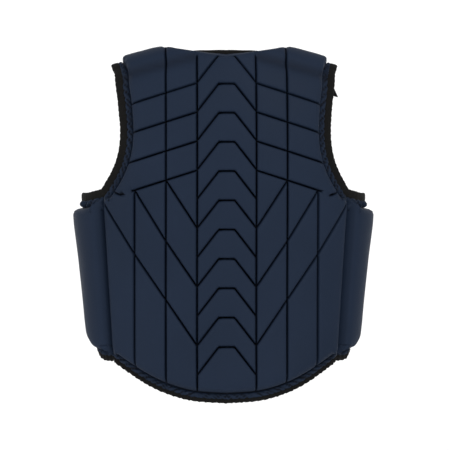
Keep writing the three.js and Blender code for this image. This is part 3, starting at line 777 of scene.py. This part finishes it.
def drawn(name, node, material, run, section, closed, along=1.5, wobble=0, spread=None):
    """A closed section (across, out) drawn along stations."""
    centre, across, out = run
    if closed:
        centre, across, out = (np.concatenate([rows, rows[:1]]) for rows in (centre, across, out))
    step = np.linalg.norm(np.diff(centre, axis=0), axis=1)
    s = np.concatenate([[0], np.cumsum(step)])
    count = max(4, int(s[-1] / along))
    section = np.array([*section, section[0]], float)
    bm = bmesh.new()
    cloth = bm.loops.layers.uv.new("cloth")
    bmesh.ops.create_grid(bm, x_segments=count, y_segments=len(section) - 1, size=0.5)
    share = {vert: (vert.co.x + 0.5, vert.co.y + 0.5) for vert in bm.verts}
    for element in bm.faces:
        for loop in element.loops:
            a, b = share[loop.vert]
            loop[cloth].uv = (a * s[-1], b * len(section))
    for vert, (a, b) in share.items():
        at = a * s[-1]
        spot = np.array([np.interp(at, s, centre[:, k]) for k in range(3)])
        e1 = np.array([np.interp(at, s, across[:, k]) for k in range(3)])
        e2 = np.array([np.interp(at, s, out[:, k]) for k in range(3)])
        row = b * (len(section) - 1)
        u = np.interp(row, range(len(section)), section[:, 0])
        w = np.interp(row, range(len(section)), section[:, 1])
        grow = 1 + wobble * float(ripple(at, 2.0))
        if spread is not None:
            u = spread(spot, u)
        vert.co = spot + e1 / np.linalg.norm(e1) * u * grow + e2 / np.linalg.norm(e2) * w * grow
    bmesh.ops.remove_doubles(bm, verts=bm.verts[:], dist=1e-3)
    open_edges = [edge for edge in bm.edges if edge.is_boundary]
    if open_edges:
        bmesh.ops.holes_fill(bm, edges=open_edges)
    bmesh.ops.recalc_face_normals(bm, faces=bm.faces[:])
    return finish_piece(name, bm, [node], [material])


def rounded(width, wall, power=3.0, count=20):
    """A rounded flat section."""
    corners = []
    for k in range(count):
        angle = 2 * math.pi * k / count
        c, s = math.cos(angle), math.sin(angle)
        corners.append((math.copysign(abs(c) ** (2 / power), c) * width / 2,
                        math.copysign(abs(s) ** (2 / power), s) * wall / 2))
    return corners


def bridge(x, steps, end=None):
    """The run of an edge from the flap to the front, across the joint."""
    shares = [(i + 1) / (steps + 1) for i in range(steps)]
    places = [(x if end is None else mix(x, end, share), mix(FLAP_TILT, JOINT_TILT, share))
              for share in shares]
    return [(at, fold_z(at) + arc_to(at, tilt)) for at, tilt in places]


def flip_rows(rows):
    return [(-x, v) for x, v, *_ in rows]


def armhole_run():
    back = back_edges(4)[1]
    front = front_edges(4)[1]
    top = side_edges(4)[0][1:-1]
    over = bridge(back[0][0], 4, front[0][0])[::-1]
    return joined([
        stations([*over, *[(x, v) for x, v, _ in back[:-1]]], back_face, -1, ARMHOLE_TAPE,
                 lift=crest_lift),
        stations(top, side_face, -1, ARMHOLE_TAPE),
        stations(flip_rows(front)[::-1][1:], front_face, -1, ARMHOLE_TAPE),
    ])


def neck_run():
    back = [(x, v) for x, v, _ in back_edges(4)[0]]
    front = flip_rows(front_edges(4)[0])[::-1]
    half = joined([
        stations([*back, *bridge(back[-1][0], 4)], back_face, -1, NECK_TAPE, NECK_GAP),
        stations(front, front_face, -1, NECK_TAPE),
    ])
    return joined([tuple(rows[:-1] for rows in mirrored_run(half)), half])


def hem_run():
    back = [(x, v) for x, v, _ in back_edges(4)[2]][::-1]
    side = [(x, v) for x, v, _ in side_edges(4)[1]][::-1][1:-1]
    front = flip_rows(front_edges(4)[2])
    half = joined([
        stations(back, back_face, 1, HEM_TAPE),
        stations(side, side_face, 1, HEM_TAPE),
        stations(front, front_face, 1, HEM_TAPE),
    ])
    return joined([tuple(rows[:-1] for rows in mirrored_run(half)), half])


STRAP_STATIONS = 60


def strap_run(slant):
    """The run of a strap from the flap down the front. slant is how far it drifts outward."""
    middle = (NECK_HALF + SHOULDER_HALF) / 2
    height = FOAM + STRAP_GAP + STRAP_WALL / 2
    start = arc_to(middle, FLAP_TILT) - STRAP_ON_FLAP
    end = arc_to(middle, JOINT_TILT) + STRAP_ON_FRONT

    def at(x, way):
        past = way - arc_to(x, JOINT_TILT)
        if past <= 0:
            return bend(back_face, x, fold_z(x) + way, height)
        return bend(front_face, -x, joint_z(x) + past * math.cos(JOINT_TILT), height)

    rows = []
    for way in np.linspace(start, end, STRAP_STATIONS):
        x = middle + slant * (way - start) / (end - start)
        across = at(x + 1, way) - at(x - 1, way)
        along = at(x, way + 1) - at(x, way - 1)
        out = np.cross(across, along)
        rows.append((at(x, way), across / np.linalg.norm(across), out / np.linalg.norm(out)))
    return tuple(np.array([row[k] for row in rows]) for k in range(3))


# Shader arithmetic

class Value:
    """A node output that can be used in sums and products."""

    def __init__(self, shader, socket):
        self.shader = shader
        self.socket = socket

    def _math(self, operation, other, swap=False):
        pair = (other, self) if swap else (self, other)
        return self.shader.node("ShaderNodeMath", {"operation": operation}, dict(enumerate(pair)))

    def __add__(self, other):
        return self._math("ADD", other)

    __radd__ = __add__

    def __mul__(self, other):
        return self._math("MULTIPLY", other)

    __rmul__ = __mul__

    def __sub__(self, other):
        return self._math("SUBTRACT", other)

    def __rsub__(self, other):
        return self._math("SUBTRACT", other, swap=True)

    def sine(self):
        return self.shader.node("ShaderNodeMath", {"operation": "SINE"}, {0: self})

    def limited(self, low, high, to_low=0.0, to_high=1.0):
        return self.shader.node("ShaderNodeMapRange", {"clamp": True},
                                {0: self, 1: low, 2: high, 3: to_low, 4: to_high})


class Shader:
    """A material with one Principled surface."""

    def __init__(self, name, sockets):
        self.material = bpy.data.materials.new(name)
        self.material.use_nodes = True
        self.tree = self.material.node_tree
        self.surface = self.tree.nodes["Principled BSDF"]
        for socket, value in sockets.items():
            self.surface.inputs[socket].default_value = value

    def node(self, kind, settings=None, inputs=None, output=0):
        made = self.tree.nodes.new(kind)
        for name, value in (settings or {}).items():
            setattr(made, name, value)
        for key, value in (inputs or {}).items():
            if isinstance(value, Value):
                self.tree.links.new(value.socket, made.inputs[key])
            else:
                made.inputs[key].default_value = value
        return Value(self, made.outputs[output])

    def feed(self, socket, value):
        self.tree.links.new(value.socket, self.surface.inputs[socket])

    def place(self):
        return self.node("ShaderNodeTexCoord", output="Object")

    def cloth(self):
        """Place on the cloth in millimetres, as two values."""
        uv = self.node("ShaderNodeUVMap", {"uv_map": "cloth"})
        parts = self.node("ShaderNodeSeparateXYZ", inputs={0: uv})
        return parts, Value(self, parts.socket.node.outputs[1])

    def noise(self, scale, detail=2.0):
        return self.node("ShaderNodeTexNoise", {"noise_dimensions": "3D"},
                         {"Vector": self.place(), "Scale": scale, "Detail": detail},
                         output="Fac")

    def blend(self, low, high, amount):
        return self.node("ShaderNodeMix", {"data_type": "RGBA"},
                         {0: amount, 6: low, 7: high}, output=2)

    def bump(self, height, strength, distance):
        return self.node("ShaderNodeBump", inputs={"Strength": strength, "Distance": distance,
                                                   "Height": height}, output="Normal")


def colour(red, green, blue):
    return (red, green, blue, 1.0)


# the deep navy of the painted shade in grooves, creases and between the gathers
NAVY_PAINTED_SHADE = colour(0.0010, 0.0016, 0.0042)
BLACK = colour(0.0022, 0.0021, 0.0020)
WEAVE_PITCH = 0.75
KNIT_PITCH = 3.0
BINDING_RIB = 1.6
LOOP_RIB = 2.4


def navy_cover():
    """Tightly woven navy cover with a soft sheen, and painted shade where it dips into grooves and
    creases and between the gathers.
    """
    shader = Shader("navy_cover", {"Roughness": 0.62, "Sheen Weight": 0.02, "Sheen Roughness": 0.4,
                                   "Sheen Tint": colour(0.45, 0.55, 0.75),
                                   "Specular IOR Level": 0.08})
    u, v = shader.cloth()
    warp = (u * (2 * math.pi / WEAVE_PITCH)).sine()
    weft = (v * (2 * math.pi / WEAVE_PITCH)).sine()
    weave = warp * weft
    broad = shader.noise(9.0, 3.0).limited(0.3, 0.7)
    fleck = shader.noise(900.0, 1.0).limited(0.3, 0.7)
    painted_shade = shader.node("ShaderNodeAttribute", {"attribute_name": "painted_shade"}, output="Fac")
    tone = shader.blend(colour(0.0058, 0.0113, 0.0240), colour(0.0076, 0.0138, 0.0285), broad)
    tone = shader.blend(tone, colour(0.0120, 0.0195, 0.0370), fleck * 0.25)
    # painted shade: the cover darkens towards a deep navy in grooves, creases and between the
    # gathers
    tone = shader.blend(tone, NAVY_PAINTED_SHADE, painted_shade.limited(0.05, 0.8) * 0.92)
    shader.feed("Base Color", tone)
    shader.feed("Roughness", 0.56 + broad * 0.1 + weave * 0.04)
    soft = shader.noise(60.0, 2.0)
    shader.feed("Normal", shader.bump(weave * 0.5 + soft * 2.0, 0.35, 0.00012))
    return shader.material


def lining():
    """Black open knit that covers the inner face of each panel."""
    shader = Shader("black_lining", {"Roughness": 0.9, "Specular IOR Level": 0.08})
    u, v = shader.cloth()
    turn = 2 * math.pi / KNIT_PITCH
    hole = ((u * turn).sine() * (v * turn).sine()).limited(0.2, 0.9)
    shader.feed("Base Color", shader.blend(colour(0.006, 0.006, 0.0065),
                                           colour(0.0015, 0.0015, 0.0015), hole))
    shader.feed("Normal", shader.bump(1 - hole, 0.6, 0.0004))
    return shader.material


def tape(name, rib, tone):
    """Ribbed black tape. rib is the pitch of its ribs along the run."""
    shader = Shader(name, {"Roughness": 0.85, "Sheen Weight": 0.02, "Specular IOR Level": 0.08})
    u, _ = shader.cloth()
    ribs = (u * (2 * math.pi / rib)).sine()
    fuzz = shader.noise(400.0, 3.0).limited(0.3, 0.7)
    shader.feed("Base Color", shader.blend(tone, colour(0.0085, 0.0082, 0.0080),
                                           (ribs.limited(-1, 1) * 0.5 + fuzz * 0.5) * 0.6))
    shader.feed("Normal", shader.bump(ribs * 0.5 + fuzz, 0.6, 0.00025))
    return shader.material


def moulded():
    """Black moulded zip with a fine grain."""
    shader = Shader("zip_moulding", {"Roughness": 0.4})
    grain = shader.noise(500.0, 2.0)
    shader.feed("Base Color", shader.blend(colour(0.008, 0.008, 0.010), colour(0.016, 0.016, 0.018),
                                           grain))
    shader.feed("Roughness", 0.35 + grain * 0.2)
    return shader.material


COVER = navy_cover()
LINING = lining()
BINDING = tape("black_binding", BINDING_RIB, BLACK)
LOOP_TAPE = tape("black_loop_tape", LOOP_RIB, colour(0.003, 0.003, 0.0033))
MOULDED = moulded()


def mirror_piece(source, name, node):
    """A copy of a piece for the other side of the vest."""
    bm = bmesh.new()
    bm.from_mesh(source.data)
    bmesh.ops.scale(bm, vec=(-1 / MM, 1 / MM, 1 / MM), verts=bm.verts)
    bmesh.ops.reverse_faces(bm, faces=bm.faces[:])
    return finish_piece(name, bm, [node], list(source.data.materials))


def side_folds(u, v):
    """Soft upright waves of a side panel."""
    return 1.2 * np.sin(u * 0.055 + 0.6) * np.sin((v + SIDE_DROP) * 0.012) - 0.6


panels = [padded_panel("back_cover", "back_panel", back_outline(), back_grooves(), back_face, 1.0,
                       crease=shoulder_crease, lift=crest_lift)]
left = padded_panel("front_cover_left", "front_panel_left", front_outline(), front_grooves(),
                    front_face, 2.0)
right_side = padded_panel("side_cover_right", "side_panel_right", side_outline(), [], side_face,
                          3.0, dents=side_folds)
panels += [left, mirror_piece(left, "front_cover_right", "front_panel_right"),
           right_side,
           mirror_piece(right_side, "side_cover_left", "side_panel_left")]

HEM_CORNER = 178  # where the hem tape is widest, out from the middle
HEM_CORNER_REACH = 26
HEM_MIDDLE_REACH = 90


def hem_spread(spot, u):
    """The hem tape is drawn in at the middle and gathers wide at the corners of the back."""
    outer = max(0.0, u + HEM_TAPE / 2 - TAPE_LAP / 2)
    corner = math.exp(-((abs(spot[0]) - HEM_CORNER) / HEM_CORNER_REACH) ** 2)
    middle = math.exp(-(spot[0] / HEM_MIDDLE_REACH) ** 2)
    return u + outer * (0.2 * corner - 0.1 * middle - 0.25)


armhole = drawn("armhole_tape_right", "armhole_binding_right", BINDING,
                armhole_run(), rounded(ARMHOLE_TAPE + TAPE_LAP, TAPE_FULL), True, wobble=0.06)
mirror_piece(armhole, "armhole_tape_left", "armhole_binding_left")
drawn("neck_tape", "neck_binding", BINDING, neck_run(),
      rounded(NECK_TAPE + TAPE_LAP, TAPE_FULL), False)
drawn("hem_tape", "hem_binding", BINDING, hem_run(),
      rounded(HEM_TAPE + TAPE_LAP, TAPE_FULL), False, wobble=0.2, spread=hem_spread)
strap_section = rounded(STRAP_WIDTH - 2 * FLAP_TUCK, STRAP_WALL, power=14, count=48)
drawn("strap_right", "shoulder_strap_right", LOOP_TAPE,
      strap_run(STRAP_SLANT + FLAP_TUCK), strap_section, False)
drawn("strap_left", "shoulder_strap_left", LOOP_TAPE, mirrored_run(strap_run(0)),
      strap_section, False)

for node in ("front_zip", "zip_slider"):
    held = bpy.data.objects.get(node)
    if held:
        held.data.materials.clear()
        held.data.materials.append(MOULDED)


# Floor, light and camera

PHOTO_SIDE = 450  # pixels of the photograph
PIXEL = 1.52  # millimetres of the vest for each pixel
PHOTO_ZERO_ROW = 64.2  # the photograph's row at the height of the shoulder rest
PHOTO_AXIS_COLUMN = 223.5  # the photograph's column through the middle of the vest
VIEW_TURN = math.radians(-2.6)
VIEW_FAR = 5.0
SHARP_PLANE = -0.06  # depth, in metres, at which a pixel has its size
SENSOR = 36.0
VEST_MIDDLE = (0, 0, -0.25)
FLOOR_DROP = 0.5  # metres from the hem down to the floor
FLOOR_HALF = 12.0
WALL_FAR = 8.0
WALL_BEND = 2.0


def add_camera():
    data = bpy.data.cameras.new("camera")
    camera = bpy.data.objects.new("camera", data)
    bpy.context.scene.collection.objects.link(camera)
    right = (PHOTO_SIDE / 2 - PHOTO_AXIS_COLUMN) * PIXEL * MM
    up = (PHOTO_ZERO_ROW - PHOTO_SIDE / 2) * PIXEL * MM
    cos, sin = math.cos(VIEW_TURN), math.sin(VIEW_TURN)
    camera.location = (VIEW_FAR * sin + right * cos, -VIEW_FAR * cos + right * sin, up)
    camera.rotation_euler = (math.pi / 2, 0, VIEW_TURN)
    data.sensor_width = SENSOR
    data.lens = SENSOR * (VIEW_FAR + SHARP_PLANE) / (PHOTO_SIDE * PIXEL * MM)
    bpy.context.scene.camera = camera


def add_light(name, place, aim, size, power):
    data = bpy.data.lights.new(name, "AREA")
    data.shape = "DISK"
    data.size = size
    data.energy = power
    lamp = bpy.data.objects.new(name, data)
    bpy.context.scene.collection.objects.link(lamp)
    lamp.location = place
    way = np.array(aim) - np.array(place)
    lamp.rotation_euler = (math.atan2(math.hypot(way[0], way[1]), -way[2]), 0,
                           math.atan2(way[0], -way[1]) + math.pi)


def add_stage():
    """A pale floor that curves up into a pale wall, well behind the vest."""
    bm = bmesh.new()
    floor = -HEM_DROP * MM - FLOOR_DROP
    bmesh.ops.create_grid(bm, x_segments=2, y_segments=96, size=FLOOR_HALF)
    for vert in bm.verts:
        run = vert.co.y + FLOOR_HALF
        flat = min(run, FLOOR_HALF + WALL_FAR - WALL_BEND)
        turned = min(max(0.0, (run - flat) / WALL_BEND), math.pi / 2)
        rest = max(0.0, run - flat - WALL_BEND * math.pi / 2)
        vert.co.y = flat - FLOOR_HALF + WALL_BEND * math.sin(turned)
        vert.co.z = floor + WALL_BEND * (1 - math.cos(turned)) + rest
        vert.co.x *= 2
    mesh = bpy.data.meshes.new("studio_floor")
    bm.to_mesh(mesh)
    bm.free()
    stage = bpy.data.objects.new("studio_floor", mesh)
    bpy.context.scene.collection.objects.link(stage)
    for polygon in mesh.polygons:
        polygon.use_smooth = True
    shader = Shader("studio_white", {"Roughness": 0.9, "Emission Color": colour(1, 1, 1),
                                     "Emission Strength": 0.2})
    shader.feed("Base Color", shader.blend(colour(0.9, 0.9, 0.9), colour(0.94, 0.94, 0.94),
                                           shader.noise(0.6)))
    mesh.materials.append(shader.material)


def add_world():
    world = bpy.data.worlds.new("studio")
    bpy.context.scene.world = world
    world.use_nodes = True
    back = world.node_tree.nodes["Background"]
    back.inputs["Color"].default_value = colour(1, 1, 1)
    back.inputs["Strength"].default_value = 0.85


add_camera()
add_stage()
add_world()
add_light("key", (1.1, -2.9, 1.5), VEST_MIDDLE, 1.6, 56)
add_light("fill", (-2.4, -2.0, 0.5), VEST_MIDDLE, 1.8, 28)
bpy.context.scene.view_settings.view_transform = "Standard"
